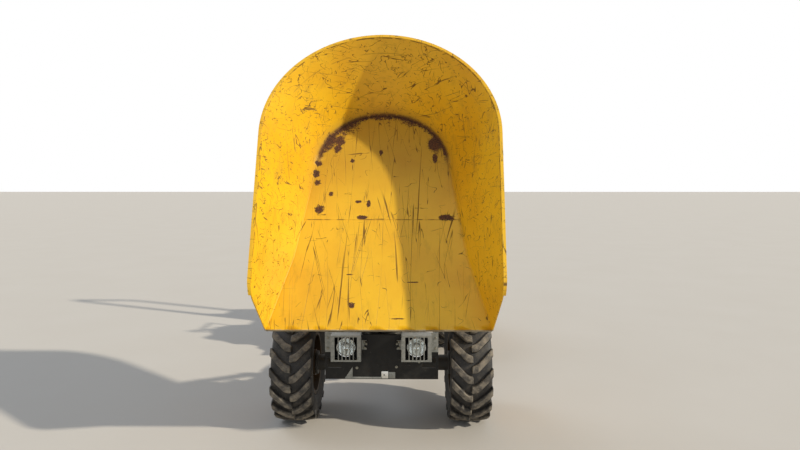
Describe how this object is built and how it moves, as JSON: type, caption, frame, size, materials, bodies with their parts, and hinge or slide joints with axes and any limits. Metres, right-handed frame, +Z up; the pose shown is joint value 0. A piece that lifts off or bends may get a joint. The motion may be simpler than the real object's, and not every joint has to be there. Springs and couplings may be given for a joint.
{
  "type": "site dumper",
  "caption": "Articulated site dumper with a flared U-shaped skip on a swivel console, lugged tyres, guarded headlamps, open operator's station and folding roll hoop.",
  "frame": {"origin": "on the ground under the middle of the machine's length and width", "axes": "+X to the machine's left, +Y to its rear, +Z up"},
  "size_m": [1.458, 3.7496, 2.65],
  "materials": {
    "skip_paint": "worn yellow enamel with rust and scratches",
    "chassis_paint": "satin anthracite enamel",
    "body_paint": "satin yellow enamel",
    "galvanised": "dull zinc coating",
    "lamp_chrome": "polished",
    "rod_chrome": "hard chrome",
    "bare_steel": "machined, greased",
    "iron": "painted casting",
    "tyre": "dusty tread",
    "black_plastic": "grained",
    "seat_vinyl": "moulded vinyl",
    "lamp_red": "clear red lens"
  },
  "bodies": {
    "rear_chassis": {"rear_frame": "chassis_paint", "rear_axle": "iron", "platform": "chassis_paint", "dash_console": "body_paint", "steering_column": "black_plastic", "steering_wheel": "black_plastic", "control_levers": "chassis_paint", "foot_pedals": "black_plastic", "seat_base": "chassis_paint", "seat_cushion": "seat_vinyl", "seat_backrest": "seat_vinyl", "engine_block": "iron", "engine_bulkhead": "chassis_paint", "fuel_tank": "chassis_paint", "exhaust_muffler": "iron", "rear_counterweight": "chassis_paint", "rear_lamps": "lamp_red", "rops_posts": "chassis_paint", "grab_rails": "chassis_paint", "fender_left": "chassis_paint", "fender_right": "chassis_paint"},
    "front_chassis": {"front_frame": "chassis_paint", "front_axle": "iron", "articulation_pin": "bare_steel", "slew_ring": "bare_steel", "headlamp_left": "lamp_chrome", "headlamp_right": "lamp_chrome", "lamp_guard_left": "galvanised", "lamp_guard_right": "galvanised"},
    "console": {"swivel_console": "chassis_paint", "tip_hinge_pin": "bare_steel"},
    "skip": {"skip_shell": "skip_paint", "skip_underframe": "skip_paint"},
    "tip_barrel": {"tip_cylinder_barrel": "chassis_paint"},
    "tip_rod": {"tip_cylinder_rod": "rod_chrome"},
    "steer_barrel": {"steering_cylinder_barrel": "chassis_paint"},
    "steer_rod": {"steering_cylinder_rod": "rod_chrome"},
    "hood": {"engine_hood": "body_paint"},
    "hoop": {"rops_hoop": "chassis_paint"},
    "wheel_front_left": {"tyre_front_left": "tyre", "wheel_front_left": "body_paint"},
    "wheel_front_right": {"tyre_front_right": "tyre", "wheel_front_right": "body_paint"},
    "wheel_rear_left": {"tyre_rear_left": "tyre", "wheel_rear_left": "body_paint"},
    "wheel_rear_right": {"tyre_rear_right": "tyre", "wheel_rear_right": "body_paint"}
  },
  "joints": [
    {"name": "steering", "type": "hinge", "parent": "rear_chassis", "child": "front_chassis", "pos_m": [0, -0.10518, 0.48], "axis": [0, 0, 1], "range_deg": [-33, 33]},
    {"name": "skip_swivel", "type": "hinge", "parent": "front_chassis", "child": "console", "pos_m": [0, -0.90518, 0.63], "axis": [0, 0, 1], "range_deg": [-90, 90]},
    {"name": "skip_tip", "type": "hinge", "parent": "console", "child": "skip", "pos_m": [0, -1.42518, 0.967], "axis": [1, 0, 0], "range_deg": [-63, 0]},
    {"name": "tip_barrel_swing", "type": "hinge", "parent": "console", "child": "tip_barrel", "pos_m": [0, -0.58518, 0.735], "axis": [1, 0, 0], "range_deg": [0, 14.61]},
    {"name": "tip_rod_slide", "type": "slide", "parent": "tip_barrel", "child": "tip_rod", "axis": [0, -0.8135, 0.5816], "range_m": [-0.2637, 0]},
    {"name": "steer_barrel_swing", "type": "hinge", "parent": "rear_chassis", "child": "steer_barrel", "pos_m": [0.29, 0.24482, 0.47], "axis": [0, 0, 1], "range_deg": [-12.92, 12.92]},
    {"name": "steer_rod_slide", "type": "slide", "parent": "steer_barrel", "child": "steer_rod", "axis": [-0.1414, -0.9899, 0], "range_m": [-0.1367, 0.1367]},
    {"name": "hood_lift", "type": "hinge", "parent": "rear_chassis", "child": "hood", "pos_m": [0, 1.38682, 1.12], "axis": [1, 0, 0], "range_deg": [0, 55]},
    {"name": "hoop_fold", "type": "hinge", "parent": "rear_chassis", "child": "hoop", "pos_m": [0, 1.35082, 1.3], "axis": [1, 0, 0], "range_deg": [-95, 0]},
    {"name": "wheel_front_left_spin", "type": "hinge", "parent": "front_chassis", "child": "wheel_front_left", "pos_m": [0.568, -1.00518, 0.38], "axis": [1, 0, 0], "continuous": true},
    {"name": "wheel_front_right_spin", "type": "hinge", "parent": "front_chassis", "child": "wheel_front_right", "pos_m": [-0.568, -1.00518, 0.38], "axis": [1, 0, 0], "continuous": true},
    {"name": "wheel_rear_left_spin", "type": "hinge", "parent": "rear_chassis", "child": "wheel_rear_left", "pos_m": [0.568, 0.84482, 0.38], "axis": [1, 0, 0], "continuous": true},
    {"name": "wheel_rear_right_spin", "type": "hinge", "parent": "rear_chassis", "child": "wheel_rear_right", "pos_m": [-0.568, 0.84482, 0.38], "axis": [1, 0, 0], "continuous": true}
  ],
  "couplings": [
    {"joint": "tip_barrel_swing", "follows": "skip_tip", "ratio": -0.22715},
    {"joint": "tip_rod_slide", "follows": "skip_tip", "m_per_rad": 0.23796},
    {"joint": "steer_barrel_swing", "follows": "steering", "ratio": 0.38244},
    {"joint": "steer_rod_slide", "follows": "steering", "m_per_rad": -0.23381}
  ]
}
